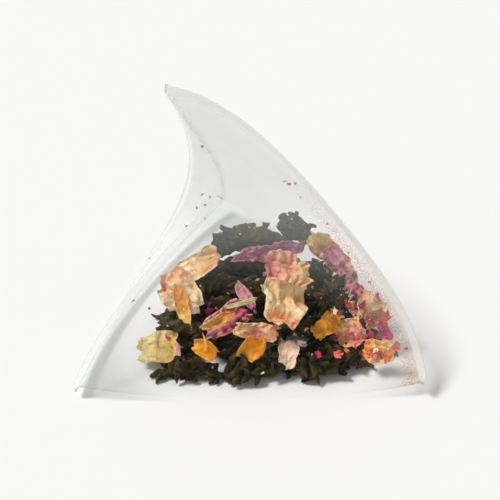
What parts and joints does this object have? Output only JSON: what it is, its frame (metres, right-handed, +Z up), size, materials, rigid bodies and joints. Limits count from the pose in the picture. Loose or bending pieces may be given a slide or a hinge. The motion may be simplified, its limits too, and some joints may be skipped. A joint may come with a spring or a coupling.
{
  "type": "pyramid tea bag",
  "caption": "Pyramid tea bag folded from one sheet of clear mesh film, sealed along two crossed edges, with rolled black tea leaves and dried petals heaped inside.",
  "frame": {"origin": "middle of the bounding box in X and Y, on the plane that the bag's base rests on", "axes": "+X along the front edge of the base, from its left corner to its right one; +Y from the front edge towards the back corner; +Z up towards the tip"},
  "size_m": [0.0634, 0.0596, 0.0466],
  "materials": {
    "mesh_film": "clear woven mesh film, heat sealed",
    "leaf_dark": "dry rolled tea leaf, dull",
    "leaf_olive": "dry rolled tea leaf, dull",
    "leaf_hazy": "dry tea leaf seen through film",
    "petal_peach": "dried petal, dull",
    "petal_cream": "dried petal, dull",
    "petal_pink": "dried petal, dull",
    "petal_mauve": "dried petal, dull",
    "petal_magenta": "dried petal, dull",
    "petal_orange": "dried petal, dull",
    "petal_pale": "dried petal, dull",
    "stem_green": "dried stem"
  },
  "bodies": {
    "root": {"mesh_bag": "mesh_film", "leaf_front_left": "leaf_dark", "leaf_front_middle": "leaf_dark", "leaf_front_right": "leaf_dark", "leaf_low_left": "leaf_dark", "leaf_low_middle": "leaf_dark", "leaf_low_right": "leaf_dark", "leaf_pointed": "leaf_dark", "leaf_far_right": "leaf_olive", "leaf_bed_01": "leaf_dark", "leaf_bed_02": "leaf_dark", "leaf_bed_03": "leaf_dark", "leaf_bed_04": "leaf_dark", "leaf_bed_05": "leaf_dark", "leaf_bed_06": "leaf_dark", "leaf_bed_07": "leaf_dark", "leaf_bed_08": "leaf_dark", "leaf_bed_09": "leaf_dark", "leaf_bed_10": "leaf_dark", "leaf_bed_11": "leaf_dark", "leaf_bed_12": "leaf_dark", "leaf_bed_13": "leaf_dark", "leaf_bed_14": "leaf_dark", "leaf_bed_15": "leaf_dark", "leaf_left": "leaf_olive", "leaf_middle": "leaf_dark", "leaf_middle_left": "leaf_dark", "leaf_middle_right": "leaf_dark", "leaf_right": "leaf_olive", "leaf_upper_right": "leaf_olive", "leaf_upper_left": "leaf_dark", "leaf_top_left": "leaf_dark", "leaf_top_hazy": "leaf_hazy", "leaf_top_middle": "leaf_olive", "petal_mauve_long": "petal_mauve", "petal_orange_small": "petal_orange", "petal_peach_ridged": "petal_peach", "petal_peach_large": "petal_peach", "petal_peach_narrow": "petal_peach", "petal_cream_left": "petal_cream", "petal_pink_tan": "petal_pink", "petal_tan_strip": "petal_cream", "petal_mauve_low": "petal_mauve", "petal_peach_centre": "petal_peach", "petal_coral_centre": "petal_pink", "petal_purple_tip": "petal_peach", "petal_mauve_right": "petal_mauve", "petal_magenta_right": "petal_magenta", "petal_pink_right": "petal_pale", "petal_dusty_pink": "petal_pink", "petal_golden_right": "petal_peach", "petal_coral_cup": "petal_pink", "petal_magenta_sliver": "petal_magenta", "petal_orange_brown": "petal_orange", "petal_yellow_right": "petal_orange", "petal_orange_low": "petal_orange", "petal_orange_left": "petal_orange", "petal_pale_low": "petal_pale", "petal_pink_middle": "petal_pink", "stem_green": "stem_green"}
  },
  "joints": []
}
